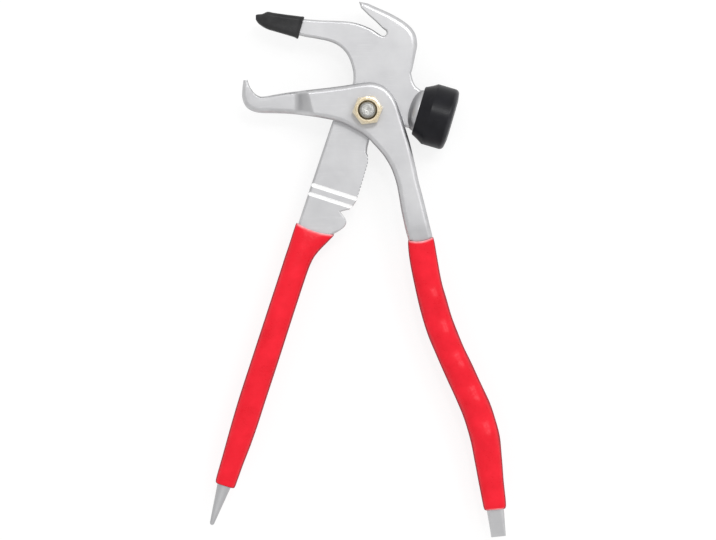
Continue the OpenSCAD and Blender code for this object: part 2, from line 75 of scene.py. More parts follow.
def spline(knots, steps):
    """Smooth curve through every knot. Between knots b and c, with neighbours a and d, the point at u
    is b + u(c-a)/2 + u^2(2a-5b+4c-d)/2 + u^3(3b-a-3c+d)/2, with u running from 0 to 1 in steps."""
    p = np.asarray(knots, float)
    held = np.vstack([2 * p[0] - p[1], p, 2 * p[-1] - p[-2]])
    a, b, c, d = (held[i : i + len(p) - 1, None, :] for i in range(4))
    u = (np.arange(steps) / steps)[None, :, None]
    curve = b + u * (c - a) / 2 + u**2 * (2 * a - 5 * b + 4 * c - d) / 2 + u**3 * (3 * b - a - 3 * c + d) / 2
    return np.vstack([curve.reshape(-1, p.shape[1]), p[-1:]])


def arc(centre, radius, start, end, steps):
    """Points of a circle between two angles in degrees: centre + radius (cos, sin)."""
    t = np.radians(np.linspace(start, end, steps + 1))
    return np.asarray(centre, float) + radius * np.stack([np.cos(t), np.sin(t)], -1)


def straight(column, steps, soften=2):
    """A value that goes straight from each knot to the next, with its bends rounded: each row becomes the
    mean of itself and the rows within soften steps of it."""
    v = np.asarray(column, float)
    fine = np.interp(np.arange((len(v) - 1) * steps + 1) / steps, np.arange(len(v)), v)
    held = np.pad(fine, soften, mode="edge")
    return np.convolve(held, np.full(2 * soften + 1, 1 / (2 * soften + 1)), "valid")


# %% Rings into a mesh
# An angle in degrees and an area in square metres, for the shading.
CREASE = 32
BROAD = 40 * MM * MM


def ring_faces(count, size, closed):
    """Four corners for each patch between ring k and ring k+1, and between point i and point i+1."""
    k = np.arange(count if closed else count - 1)[:, None]
    i = np.arange(size)[None, :]
    here, there = k * size, ((k + 1) % count) * size
    j = (i + 1) % size
    return np.stack([here + i, here + j, there + j, there + i], -1).reshape(-1, 4).tolist()


def placed(name, data):
    """New object with that data, linked into the scene."""
    thing = bpy.data.objects.new(name, data)
    bpy.context.scene.collection.objects.link(thing)
    return thing


def piece_from(name, points, faces, edge, materials, smooth_below=CREASE):
    """Mesh object from points in millimetres about the pivot. edge is a value at each point, from 0 on
    open faces to 1 on the ridges that handling and tumbling polish; the finishes read it."""
    mesh = bpy.data.meshes.new(name)
    mesh.from_pydata(((points + PIVOT) * MM).tolist(), [], faces)
    worn = mesh.attributes.new("edge", "FLOAT", "POINT")
    worn.data.foreach_set("value", np.asarray(edge, np.float32))
    solid = bmesh.new()
    solid.from_mesh(mesh)
    bmesh.ops.recalc_face_normals(solid, faces=solid.faces)
    if solid.calc_volume(signed=True) < 0:
        bmesh.ops.reverse_faces(solid, faces=solid.faces)
    solid.to_mesh(mesh)
    solid.free()
    for material in materials:
        mesh.materials.append(material)
    shade(mesh, smooth_below)
    return placed(name, mesh)


def shade(mesh, smooth_below):
    """Smooth shading, with a crease wherever two faces meet at more than that angle in degrees. A face
    over BROAD is left flat, or the rounding beside it would bend its light far into it."""
    mesh.shade_smooth()
    mesh.set_sharp_from_angle(angle=math.radians(smooth_below))
    area = np.zeros(len(mesh.polygons))
    mesh.polygons.foreach_get("area", area)
    mesh.polygons.foreach_set("use_smooth", area < BROAD)


def stacked(name, rings, edge, materials, closed=False, smooth_below=CREASE):
    """Piece from a stack of rings, (rings, points, 3). An open stack gets a flat face at each end, and a
    closed one joins its last ring to its first, as a sleeve does that turns in over its own mouth."""
    count, size, _ = rings.shape
    faces = ring_faces(count, size, closed)
    if not closed:
        faces += [list(range(size)), list(range((count - 1) * size, count * size))]
    return piece_from(name, rings.reshape(-1, 3), faces, np.broadcast_to(edge, (count, size)).ravel(),
                      materials, smooth_below)


def settle(piece, body, nodes):
    """Puts a finished piece on its body, in place of its CAD solids, which are hidden. Its shading
    is evened, so that flat faces look flat up to their rounded edges."""
    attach(piece, body)
    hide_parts(*nodes)
    even = piece.modifiers.new("even shading", "WEIGHTED_NORMAL")
    even.keep_sharp = True
    print(piece.name, "for", nodes, "on", body, "-", len(piece.data.polygons), "faces")


# %% [markdown]
# ## What the finishes share
# Real surfaces change a little from place to place. Three effects recur on this tool: patches and
# fine grain left by blasting, moulding or dipping; ridges that look brighter because they are rubbed
# more; and thin scuffs from use. Each is one node group, so it is drawn once and every material sets
# its own values. All patterns follow the object's own coordinates, so they stay put as it moves.

# %% Node helpers
def feed(tree, node, values):
    """Sets each of the node's inputs to its number or colour, or links it where the value is a socket."""
    for key, value in dict(values).items():
        if isinstance(value, bpy.types.NodeSocket):
            tree.links.new(value, node.inputs[key])
        else:
            node.inputs[key].default_value = value


def put(tree, kind, values=(), **settings):
    """New shader node with its settings, and with numbers, colours or sockets fed to its inputs."""
    node = tree.nodes.new("ShaderNode" + kind)
    for key, value in settings.items():
        setattr(node, key, value)
    feed(tree, node, values)
    return node


def group(name, inputs, outputs):
    """Empty shader group whose sockets are plain numbers, with its input sockets and its output node."""
    tree = bpy.data.node_groups.new(name, "ShaderNodeTree")
    for label, value in inputs:
        socket = tree.interface.new_socket(label, in_out="INPUT", socket_type="NodeSocketFloat")
        socket.default_value = value
    for label in outputs:
        tree.interface.new_socket(label, in_out="OUTPUT", socket_type="NodeSocketFloat")
    return tree, tree.nodes.new("NodeGroupInput").outputs, tree.nodes.new("NodeGroupOutput")


def math_node(tree, operation, a, b=0.5):
    """Result of a Math node whose two operands are sockets or plain numbers."""
    return put(tree, "Math", {0: a, 1: b}, operation=operation).outputs[0]


def spread(tree, value, low, high):
    """A value stretched so that low becomes 0 and high becomes 1."""
    return put(tree, "MapRange", {"Value": value, "From Min": low, "From Max": high}).outputs["Result"]


def toward(tree, factor, start, end):
    """A value that goes from start to end as the factor goes from 0 to 1."""
    return put(tree, "Mix", {"Factor": factor, 2: start, 3: end}, data_type="FLOAT").outputs[0]


def noise(tree, place, **values):
    """Smooth random values from 0 to 1 over a place."""
    return put(tree, "TexNoise", {"Vector": place, **values}).outputs["Fac"]


# %% Grain: patches and fine grain
def make_grain():
    """Patches = coarse noise, Grain = fine noise, both stretched to 0 to 1. Height = 0.4 Patches + Grain."""
    tree, given, out = group("grain", [("Patch Scale", 120.0), ("Grain Scale", 1500.0)],
                             ["Patches", "Grain", "Height"])
    place = put(tree, "TexCoord").outputs["Object"]
    coarse = noise(tree, place, Scale=given["Patch Scale"], Detail=3.0, Roughness=0.6)
    fine = noise(tree, place, Scale=given["Grain Scale"], Detail=2.0, Roughness=0.5)
    patches, grain = spread(tree, coarse, 0.3, 0.7), spread(tree, fine, 0.25, 0.75)
    height = math_node(tree, "ADD", math_node(tree, "MULTIPLY", patches, 0.4), grain)
    feed(tree, out, {"Patches": patches, "Grain": grain, "Height": height})
    return tree


GRAIN = make_grain()


# %% Wear: ridges rubbed bright
def make_wear():
    """Mask = the piece's own edge value, broken up by noise, times Amount."""
    tree, given, out = group("wear", [("Amount", 1.0), ("Break Up", 300.0)], ["Mask"])
    place = put(tree, "TexCoord").outputs["Object"]
    ridge = put(tree, "Attribute", attribute_name="edge").outputs["Fac"]
    uneven = noise(tree, place, Scale=given["Break Up"], Detail=3.0)
    broken = math_node(tree, "ADD", spread(tree, uneven, 0.2, 0.7), 0.35)
    mask = math_node(tree, "MULTIPLY", ridge, broken)
    scaled = put(tree, "Math", {0: mask, 1: given["Amount"]}, operation="MULTIPLY", use_clamp=True)
    feed(tree, out, {"Mask": scaled.outputs[0]})
    return tree


WEAR = make_wear()


# %% Scuffs: thin lines from use
def make_scuffs():
    """Mask = patchy noise times lines, which lie where either of two noises, each drawn out far along a
    direction of its own, passes through its middle value."""
    tree, given, out = group("scuffs", [("Scale", 260.0), ("Width", 0.012)], ["Mask"])
    place = put(tree, "TexCoord").outputs["Object"]
    layers = []
    for angle, shrink in ((0.5, 0.06), (-0.9, 0.09)):
        turn = put(tree, "Mapping", {"Vector": place, "Rotation": (0.1, 0.1, angle), "Scale": (shrink, 1, 1)})
        drawn_out = noise(tree, turn.outputs["Vector"], Scale=given["Scale"], Detail=1.0)
        off = math_node(tree, "ABSOLUTE", math_node(tree, "SUBTRACT", drawn_out, 0.5))
        layers.append(math_node(tree, "LESS_THAN", off, given["Width"]))
    patchy = spread(tree, noise(tree, place, Scale=60.0), 0.45, 0.65)
    feed(tree, out, {"Mask": math_node(tree, "MULTIPLY", math_node(tree, "MAXIMUM", *layers), patchy)})
    return tree


SCUFFS = make_scuffs()
print("groups:", [g.name for g in bpy.data.node_groups])


# %% [markdown]
# ## The finishes
# One recipe serves every finish: two nearby colours mixed by the patches, a third on the rubbed
# ridges, a roughness that wanders between two limits, and a bump from the grain. What is the same
# all over a surface, such as how metallic it is, is set on the shader itself.

# %% Recipe
# Painted shade along outlines comes in between these two values of how far a face turns from the eye.
TURNS_FROM, TURNS_TO = 0.4, 0.8
TURNED_ROUGH = 0.85


def finish(name, dark, light, worn, rough, worn_rough, patch, grain, metallic=0.0, bump=0.00002,
           wear=1.0, scuff=0.0, painted_outline_shade=None, shader_values=()):
    """Material: colour = mix(mix(dark, light, patches), worn, wear); roughness wanders within rough. Where
    the surface turns away from the eye it grows dull and, where an outline colour is given, is painted
    toward it: a painted shade along the outline."""
    material = bpy.data.materials.new(name)
    material.use_nodes = True
    tree = material.node_tree
    shader = tree.nodes["Principled BSDF"]
    feed(tree, shader, {"Metallic": metallic, **dict(shader_values)})
    spots = put(tree, "Group", {"Patch Scale": patch, "Grain Scale": grain}, node_tree=GRAIN).outputs
    rubbed = put(tree, "Group", {"Amount": wear}, node_tree=WEAR).outputs["Mask"]
    lines = put(tree, "Group", node_tree=SCUFFS).outputs["Mask"]

    def mixed(factor, start, end):
        """Colour that goes from the socket start to the plain colour end as the factor goes to 1."""
        return put(tree, "Mix", {"Factor": factor, 6: start, 7: (*end, 1.0)}, data_type="RGBA").outputs[2]

    colour = mixed(spots["Patches"], (*dark, 1.0), light)
    colour = mixed(rubbed, colour, worn)
    seen = math_node(tree, "MULTIPLY", lines, scuff)
    colour = mixed(seen, colour, worn)
    # Painted shade: faces that turn from the eye are darkened toward the outline colour.
    if painted_outline_shade:
        facing = put(tree, "LayerWeight", {"Blend": 0.5}).outputs["Facing"]
        away = spread(tree, facing, TURNS_FROM, TURNS_TO)
        colour = mixed(away, colour, painted_outline_shade)

    mottle = math_node(tree, "MULTIPLY", math_node(tree, "ADD", spots["Patches"], spots["Grain"]), 0.5)
    wander = put(tree, "MapRange", {"Value": mottle, "To Min": rough[0], "To Max": rough[1]})
    rough_now = toward(tree, rubbed, wander.outputs["Result"], worn_rough)
    if painted_outline_shade:
        rough_now = toward(tree, away, rough_now, TURNED_ROUGH)

    height = math_node(tree, "SUBTRACT", spots["Height"], math_node(tree, "MULTIPLY", seen, 2.0))
    raised = put(tree, "Bump", {"Strength": 1.0, "Distance": bump, "Height": height}).outputs["Normal"]
    feed(tree, shader, {"Base Color": colour, "Roughness": rough_now, "Normal": raised})
    return material


# %% [markdown]
# Both forgings are plated bright over a blasted skin: a satin grey-white metal with soft patches.
# Where the grooves are ground, their faces are painted near white: a painted highlight for the light
# that they catch. The nut and bolt have a yellowish zinc coat, and the bolt's thread is painted darker,
# a painted shade in its grooves. The cap is moulded nylon, the boot dull rubber, and the sleeves are
# dipped vinyl, which has a soft gloss, turns paler where its mouth is thin, and is painted darker along
# its outline as painted shade.

# %% Steel finishes
plated = finish(
    "plated steel", dark=(0.475, 0.475, 0.485), light=(0.535, 0.535, 0.543), worn=(0.73, 0.73, 0.74),
    rough=(0.38, 0.46), worn_rough=0.32, metallic=1.0, patch=70.0, grain=2600.0, bump=0.00001,
    wear=0.5, scuff=0.12)
# Near white: a painted highlight, put on the ground grooves for the light that they catch.
ground_steel_highlight = finish(
    "ground_steel painted highlight", dark=(0.93, 0.93, 0.93), light=(0.98, 0.98, 0.98), worn=(0.98, 0.98, 0.98),
    rough=(0.4, 0.5), worn_rough=0.3, metallic=0.2, patch=200.0, grain=3000.0, bump=0.000008)
zinc = finish(
    "zinc coat", dark=(0.46, 0.37, 0.21), light=(0.71, 0.61, 0.45), worn=(0.76, 0.69, 0.55),
    rough=(0.24, 0.42), worn_rough=0.24, metallic=1.0, patch=420.0, grain=1800.0, bump=0.00003)
cut_end = finish(
    "cut bolt end", dark=(0.07, 0.07, 0.065), light=(0.54, 0.54, 0.52), worn=(0.5, 0.5, 0.48),
    rough=(0.24, 0.40), worn_rough=0.3, metallic=1.0, patch=1300.0, grain=1600.0, bump=0.00012)
# Darker than the zinc: painted shade in the grooves of the bolt's thread.
thread_painted_shade = finish(
    "thread painted shade", dark=(0.16, 0.15, 0.12), light=(0.26, 0.24, 0.19), worn=(0.34, 0.32, 0.26),
    rough=(0.34, 0.5), worn_rough=0.36, metallic=1.0, patch=500.0, grain=2600.0)

# %% Nylon, rubber and vinyl finishes
nylon = finish(
    "black nylon", dark=(0.004, 0.004, 0.006), light=(0.009, 0.009, 0.012), worn=(0.05, 0.05, 0.055),
    rough=(0.27, 0.37), worn_rough=0.3, patch=140.0, grain=1800.0, bump=0.000012,
    wear=0.6, scuff=0.25, shader_values={"Specular IOR Level": 0.21})
rubber = finish(
    "black rubber", dark=(0.005, 0.005, 0.006), light=(0.026, 0.026, 0.027), worn=(0.036, 0.036, 0.036),
    rough=(0.34, 0.46), worn_rough=0.4, patch=120.0, grain=1400.0, bump=0.00003,
    wear=0.6, shader_values={"Specular IOR Level": 0.3})
vinyl = finish(
    "red vinyl", dark=(0.75, 0.008, 0.020), light=(0.88, 0.013, 0.030), worn=(0.95, 0.42, 0.45),
    rough=(0.24, 0.36), worn_rough=0.45, patch=110.0, grain=700.0, bump=0.00005,
    # painted shade: the sleeves are darkened along their outline
    painted_outline_shade=(0.26, 0.003, 0.016),
    shader_values={"Specular IOR Level": 0.34, "Specular Tint": (1.0, 0.5, 0.55, 1.0)})
print("finishes:", [m.name for m in bpy.data.materials])

# %% [markdown]
# ## The hook lever
# A real one is drop forged as a straight bar, bent, and joggled sideways so that its hub passes in
# front of the other lever while its hook lies in the same plane. Here one rounded rectangle is
# carried along the whole bar, from the tip of the hook round the hub to the pry blade. Each station
# gives the bar's two edges in plan, its middle height and its thickness. An extrusion would give
# the plan but not the joggle or the thinning hook, which is why the stations carry those too.

# %% Heights through the tool
# The main lever's middle is at 0, its front face at FACE, and the hook lever's hub has its middle at FRONT.
LEVER_T = 6.0
GAP = 0.1
FACE = LEVER_T / 2
FRONT = FACE + GAP + LEVER_T / 2
BORE_R = 4.05
print("front face at", FACE, "mm, middle of the hub at", round(FRONT, 2), "mm")


# %% Sections and lofts
def columns(like, *values):
    """Each value, one number or one for each entry of like, as a column."""
    return [np.broadcast_to(np.asarray(v, float), np.shape(like))[:, None] for v in values]


def rounded_sections(width, thick, radius, far_radius=None, steps=6):
    """Rectangles with round corners: each corner point is (+-(w/2 - r), +-(t/2 - q)) + (r cos, q sin), and
    r is at most 0.45 of the shorter side. The far edge can have its own, smaller r, and its q stays, so
    that its rounding is taller than wide. Returns the points and how far each is into its corner, which
    is 1 at the corner's middle."""
    into = np.tile(np.linspace(0, 90, steps + 1), 4)
    t = np.radians(into + np.repeat([0, 90, 180, 270], steps + 1))
    sx = np.repeat([1, -1, -1, 1], steps + 1)
    sz = np.repeat([1, 1, -1, -1], steps + 1)
    far_radius = radius if far_radius is None else far_radius
    w, h, near, far = columns(width, width, thick, radius, far_radius)
    near, far = (np.minimum(r, 0.45 * np.minimum(w, h)) for r in (near, far))
    r = np.where(sx > 0, far, near)
    points = np.stack([sx * (w / 2 - r) + r * np.cos(t), sz * (h / 2 - near) + near * np.sin(t)], -1)
    return points, np.sin(np.radians(2 * into))


def station_rows(knots, steps):
    """Stations between the knots: edges along a spline, middle height and thickness straight."""
    k = np.asarray(knots, float)
    return np.column_stack([spline(k[:, :4], steps), straight(k[:, 4], steps), straight(k[:, 5], steps)])


def widths(rows):
    """Distance between the two edges of each station."""
    return np.linalg.norm(rows[:, 2:4] - rows[:, 0:2], axis=1)


def carried(rows, sections, bow=0.0):
    """Each section stood on its station: x runs from the inner to the outer edge and z up. bow pushes a
    point along the bar by bow times x squared, which curves an end."""
    middle = (rows[:, 0:2] + rows[:, 2:4]) / 2
    across = unit(rows[:, 2:4] - rows[:, 0:2])
    x, z = sections[..., 0], sections[..., 1]
    push = x * x * np.asarray(bow, float).reshape(-1, 1)
    plan = middle[:, None] + across[:, None] * x[..., None] + turned(across)[:, None] * push[..., None]
    return np.dstack([plan, rows[:, 4, None] + z])


# %% Stations of the hook lever
# A row is the inner edge (x, y), the outer edge (x, y), the middle's height and the thickness. On the
# joggle the bar climbs, so that its upright thickness, CLIMB, is more than its own. The hub's rows are
# all at FRONT. SLEEVE holds the vinyl's own edges, WALL its wall at each station, and RISE its height.
CLIMB = LEVER_T + FRONT / 2
HOOK = [
    (-60.2, 14.8, -58.3, 15, 1.8, 2.4), (-60.4, 13.3, -57.8, 13.5, 1.5, 3), (-60.7, 11, -57, 11.6, 1.1, 3.8),
    (-60.8, 6.6, -55.5, 9.3, 0.65, 4.7), (-59.3, 2.5, -54.2, 8.1, 0.3, 5.4), (-56.4, 0.2, -52.6, 7.2, 0, 6),
    (-52, -0.9, -50.3, 7, 0, 6), (-45, -1.1, -45, 7.9, 0, 6), (-39, -1.3, -39, 8.9, 0, 6),
    (-34.4, -1.7, -34.2, 9.5, 0, 6), (-30.4, -2.2, -32, 9.7, FRONT * 0.27, CLIMB),
    (-26.4, -2.8, -29.6, 9.9, FRONT * 0.75, CLIMB),
]
HUB = [
    (-22.6, -3.5, -26, 10.3), (-16, -4.8, -15.5, 11.5), (-10.5, -6.8, -8.5, 12.5), (-6.5, -8.9, -2.5, 13.4),
    (-3.5, -10.6, 3.4, 13.5), (-1.3, -12, 9, 11), (0.6, -13.6, 13.4, 5.5), (2.6, -15.8, 16.2, -2),
    (5.3, -18.7, 18.8, -10), (8.6, -22.9, 21, -17.5), (11.8, -28.7, 23.1, -26.5), (14, -35.3, 24.8, -34.4),
    (15.3, -42, 26.6, -41.2), (16.4, -48.6, 28.1, -47.2), (18.2, -57, 30.1, -55.5),
]
SLEEVE = [
    (19.5, -64.2, 32.3, -62.5), (20.6, -73.5, 33.8, -71.2), (23, -85.5, 36, -83), (25.7, -97, 38.9, -93.3),
    (29.1, -108.2, 42.1, -103.3), (33.6, -119, 46.4, -113.8), (38.3, -129.7, 51.2, -124),
    (43.1, -140.2, 56.1, -134.5), (46.9, -149.5, 60.6, -144.9), (50, -160, 64, -157.2),
    (52, -170, 65.3, -168.5), (53.9, -180, 66.1, -179), (55.9, -190.3, 67.2, -189.4),
    (56.6, -193.9, 67.3, -193),
]
WALL = [0.6, 1.5, 2, 2.1, 2.1, 2.1, 2.1, 2.1, 2.2, 2.2, 2, 1.8, 1.4]
RISE = FRONT * np.array([0.9, 0.66, 0.4, 0.18, 0.04] + [0] * (len(SLEEVE) - 5))
BLADE = [
    (57.9, -193.9, 66.2, -193.1, 0, 4.6), (59.1, -200.6, 66.7, -199.8, 0, 3.1),
    (60.1, -207, 67.2, -206.3, 0, 1.5),
]
print("stations of hook, hub, sleeve and blade:", [len(part) for part in (HOOK, HUB, SLEEVE, BLADE)])


# %% Loft the hook lever
# The rounding is EDGE_R. On the outer edge it starts sharper: it is CRISP_R at the knots in CRISP_AT.
TANG_T = 5.2
STEPS = 8
EDGE_R = 2.4
CRISP_AT, CRISP_R = [0, 3, 5, 8, 12], [0.35, 0.6, 1.0, 1.5, EDGE_R]


def tang_stations():
    """The sleeve's own stations, each drawn in from both edges by the sleeve's wall."""
    s = np.array(SLEEVE[: len(WALL)])
    share = (np.array(WALL) / widths(s))[:, None]
    step = (s[:, 2:] - s[:, :2]) * share
    thick = np.full(len(s), TANG_T)
    thick[0] = LEVER_T
    return np.column_stack([s[:, :2] + step, s[:, 2:] - step, RISE[: len(s)], thick]).tolist()


hub = [(*edges, FRONT, LEVER_T) for edges in HUB]
hook_rows = station_rows(HOOK + hub + tang_stations() + BLADE, STEPS)
hook_w, hook_t = widths(hook_rows), hook_rows[:, 5]
crisp = np.interp(np.arange(len(hook_rows)) / STEPS, CRISP_AT, CRISP_R)
hook_section, hook_edge = rounded_sections(hook_w, hook_t, EDGE_R, crisp)
hook_lever = stacked("hook_lever_forging", carried(hook_rows, hook_section), hook_edge, [plated, ground_steel_highlight])
print("hook lever:", len(hook_rows), "stations, widest", hook_w.max().round(1), "mm")

# %% [markdown]
# Holes and ground faces are cut out with a Boolean modifier, which is applied at once, so that the cutter
# can be thrown away. The exact solver is slower, and keeps edges clean where a cut only grazes a face.

# %% Cutting
def combined(piece, other, operation, material_mode):
    """Cuts the other's volume out of the piece or joins it on, and throws the other away."""
    change = piece.modifiers.new(operation, "BOOLEAN")
    change.operation = operation
    change.object = other
    change.solver = "EXACT"
    change.material_mode = material_mode
    ready = bpy.context.evaluated_depsgraph_get()
    ready.update()
    mesh = bpy.data.meshes.new_from_object(piece.evaluated_get(ready))
    piece.modifiers.clear()
    piece.data = mesh
    shade(mesh, CREASE)
    bpy.data.objects.remove(other)


def cut(piece, cutter):
    """Takes the cutter's volume out of the piece. The cut faces take the cutter's material."""
    combined(piece, cutter, "DIFFERENCE", "TRANSFER")


def around(radius, angle, height):
    """Points about the upright axis: (radius cos, radius sin, height)."""
    return np.stack(np.broadcast_arrays(radius * np.cos(angle), radius * np.sin(angle), height), -1)


def lathe(profile, sides=96):
    """Rings of a turned part: each profile point (radius, height) goes all the way around."""
    radius, height = np.asarray(profile, float).T[..., None]
    return around(radius, np.radians(np.arange(sides) * 360 / sides), height)


def bore_cutter():
    """Upright cylinder, a little wider than the bolt, that reaches through both levers."""
    return stacked("bore", lathe([(BORE_R, -20), (BORE_R, 20)], 64), 0.0, [plated])


cut(hook_lever, bore_cutter())
settle(hook_lever, "hook_side", ["hook_lever"])

# %% [markdown]
# ## The main lever
# The other forging is flat: its head, shank and tang are one plate 6 mm thick with rounded edges.
# Its outline is drawn as a closed line, splined where it curves, and stacked through the thickness,
# drawn in near both faces along a quarter circle. An extrusion with a bevel would round every edge
# alike, and here each stretch has its own: wide on the claw, small along the shear edge.

# %% Outline of the main lever
# The handle leans from the vertical by LEAN and the hammer's axis from the level by HAMMER_LEAN. The
# sleeve runs from MOUTH to GRIP_END down the handle, and the tang stops short of its end.
LEAN = math.radians(17.8)
DOWN = np.array([-math.sin(LEAN), -math.cos(LEAN)])
ACROSS = np.array([math.cos(LEAN), -math.sin(LEAN)])
HANDLE = np.array([-30.1, -60.0])
HAMMER_LEAN = math.radians(16.5)
HAMMER_OFF = 7.2
COLLAR_R = 10.2
COLLAR_AT = 23.6
SHANK_LEFT = -4.95
MOUTH = -2.8
GRIP_L = 130.9
GRIP_END = MOUTH + GRIP_L
TANG_END = GRIP_END - 12


def on_handle(rows):
    """Plan places of rows (distance down the handle, distance across it)."""
    r = np.asarray(rows, float)
    return HANDLE + r[..., :1] * DOWN + r[..., 1:2] * ACROSS


def on_hammer(rows):
    """Plan places of rows (distance along the hammer's axis, distance above it)."""
    r = np.asarray(rows, float)
    along = np.array([math.cos(HAMMER_LEAN), -math.sin(HAMMER_LEAN)])
    up = np.array([math.sin(HAMMER_LEAN), math.cos(HAMMER_LEAN)])
    return r[..., :1] * along + (r[..., 1:2] + HAMMER_OFF) * up


def with_r(rows, radius=1.2):
    """Adds the radius of the edge's rounding to each plan place."""
    r = np.asarray(rows, float)
    return np.column_stack([r, np.full(len(r), radius)])


SHEAR = [(-5.6, -43.9), (-3.9, -39), (-2.2, -33.5), (-0.7, -28.5), (0.2, -25), (0.2, -22)]
outline = np.vstack([
    # under the jaw, down the left side, round the tang and up to the sleeve's mouth
    with_r(np.vstack([
        [(-51, 42.6), (-49.5, 41.9)],
        spline([(-42, 39.4), (-32, 36.5), (-25, 35.2), (-19.1, 34), (-14.9, 32.3), (-11.8, 29.9),
                (-9.4, 26.7), (-7.7, 22.4), (-6.8, 17.4), (-7.4, 12), (-10.4, 6.4), (-14.2, 1),
                (-17.1, -5.5)], 5),
        on_handle([(-6, SHANK_LEFT), (2, -4.8), (15, -4.3), (TANG_END, -3.1), (TANG_END, 3.1)]),
        spline(on_handle([(40, 4.2), (19, 4.3), (12, 4.9), (6, 6.6), (1, 9.2), (-2.6, 11.9),
                          (-4.7, 13.2)]), 4)])),
    # the crimping notch and the shear edge
    with_r(np.vstack([
        spline([(-13.4, -58), (-11.6, -56.6), (-10.6, -55.2), (-10.3, -53.8), (-10.9, -52.2),
                (-12.2, -50.4)], 3),
        [(-13.4, -48.9), (-12, -48.5), (-9, -47.9), (-6.9, -46)],
        spline(SHEAR, 4)]), 0.5),
    # round the hub, out along the hammer's neck and back
    with_r(np.vstack([
        [(-0.3, -20.4), (0, -17.5)],
        arc((0, 0), 13.9, -86, -36, 16),
        on_hammer([(COLLAR_AT - 3.4, 0.8 - COLLAR_R), (COLLAR_AT - 0.6, 1 - COLLAR_R),
                   (COLLAR_AT - 0.6, COLLAR_R - 1), (COLLAR_AT - 2.2, COLLAR_R - 0.2)]),
        spline(np.vstack([on_hammer([(COLLAR_AT - 4.4, COLLAR_R + 0.6), (COLLAR_AT - 6.4, COLLAR_R + 2.6)]),
                          [(21.1, 18.3)]]), 4)])),
    # the claw's outer edge, its tip, its notch, and the top of the head back to the jaw
    spline([(21.8, 20.4, 1.2), (23.3, 27.5, 2.1), (24.1, 32.6, 2.6), (22.9, 38, 2.8), (19, 42.5, 2.8),
            (11.7, 47, 2.6), (4.1, 50.4, 2.3), (0.1, 52.2, 2.1)], 8),
    [(-4.1, 53, 1.4)],
    with_r(spline([(-3.1, 50.2), (0.7, 46.5), (4, 43.6), (7.3, 40.3)], 4), 0.5),
    with_r(arc((7.6, 38), 1.7, 40, -120, 12), 0.8),
    with_r(np.vstack([spline([(5.1, 37.6), (1.6, 39.9), (-3.5, 42), (-8.5, 43.2), (-15, 43.7), (-22, 43.9),
                              (-30, 44.5), (-47, 46)], 5), [(-50.4, 45.6)]])),
])
print("outline of the main lever:", len(outline), "points")


# %% Stack the plate
def mitres(line):
    """At each point of a closed line that runs anticlockwise, the step inward that keeps both sides
    parallel: the sum of the two sides' inward directions over 1 plus their dot product."""
    side = turned(unit(np.roll(line, -1, 0) - line))
    before = np.roll(side, 1, 0)
    return (before + side) / (1 + (before * side).sum(1, keepdims=True))


def plate_rings(line, half, steps=6):
    """Rings through the plate's thickness, each point of the outline with its own rounding r. At angle a a
    point is drawn in by r(1 - cos a) and stands r(1 - sin a) from the face."""
    a = np.radians(np.linspace(90, 0, steps + 1))[:, None]
    inset, depth = line[:, 2] * (1 - np.cos(a)), line[:, 2] * (1 - np.sin(a))
    z = np.vstack([depth - half, (half - depth)[::-1]])
    draw = np.vstack([inset, inset[::-1]])
    plan = line[None, :, :2] + mitres(line[:, :2])[None] * draw[..., None]
    edge = np.sin(2 * np.vstack([a, a[::-1]]))
    return np.dstack([plan, z]), np.repeat(edge, len(line), 1)


main_lever = stacked("main_lever_forging", *plate_rings(outline, FACE), [plated, ground_steel_highlight])
print("plate of", len(main_lever.data.polygons), "faces")

# %% [markdown]
# Two shallow grooves with round bottoms are ground across the front of the shank. Each is a cylinder
# laid across it and sunk a little way in, and its cut face is painted near white, a painted highlight
# for the light that the groove catches. The bolt's bore goes through as in the other lever.

# %% Grooves and bore
GROOVES = [(-24, 2.1), (-19.5, 1.9)]


def flute(along, width, depth=0.6):
    """Round-bottomed groove across the shank: a cylinder whose radius is (w^2/4 + d^2) / 2d."""
    radius = (width * width / 4 + depth * depth) / (2 * depth)
    t = np.radians(np.arange(48) * 7.5)
    down = DOWN * (radius * np.cos(t))[:, None]
    up = FACE - depth + radius + radius * np.sin(t)
    ends = on_handle([(along, -15.0), (along, 25.0)])
    rings = np.stack([np.column_stack([end + down, up]) for end in ends])
    return stacked("groove cutter", rings, 0.0, [ground_steel_highlight])


for place, width in GROOVES:
    cut(main_lever, flute(place, width))
cut(main_lever, bore_cutter())
print("with grooves and bore:", len(main_lever.data.polygons), "faces")

# %% [markdown]
# The tang ends in a round punch that tapers to a small domed point outside the sleeve. A turned part
# with a narrow root runs back into the flat tang, and the two are joined into one solid.

# %% Punch
def down_handle(rings, across=0.0):
    """Lays a turned part's rings down the handle, across from its middle line."""
    x, y, s = rings[..., 0], rings[..., 1], rings[..., 2]
    return np.dstack([on_handle(np.stack([s, y + across], -1)), x])


PUNCH_R, TIP_R = 3.35, 1.1
PUNCH_IN, PUNCH_OUT, PUNCH_ACROSS = 18.0, 20.1, -0.4
tip = np.radians(np.linspace(0, 80, 8))
punch_profile = np.vstack([
    [(1.2, 0), (2.2, 2), (PUNCH_R, 4.5), (PUNCH_R, PUNCH_IN)],
    np.column_stack([TIP_R * np.cos(tip), PUNCH_IN + PUNCH_OUT - TIP_R + TIP_R * np.sin(tip)])])
punch_profile[:, 1] += GRIP_END - PUNCH_IN
punch = stacked("punch", down_handle(lathe(punch_profile, 48), PUNCH_ACROSS), 0.0, [plated])
combined(main_lever, punch, "UNION", "INDEX")
print("punch stands", PUNCH_OUT, "mm out of the sleeve")

# %% [markdown]
# The shear edge cuts a clip-on weight. It has fine serrations that hold the weight, and behind them a
# ground bevel. Each serration is a wedge, and all the wedges are one cutter, spaced by length along
# the edge, because spacing by the curve's own steps would crowd them at its ends.

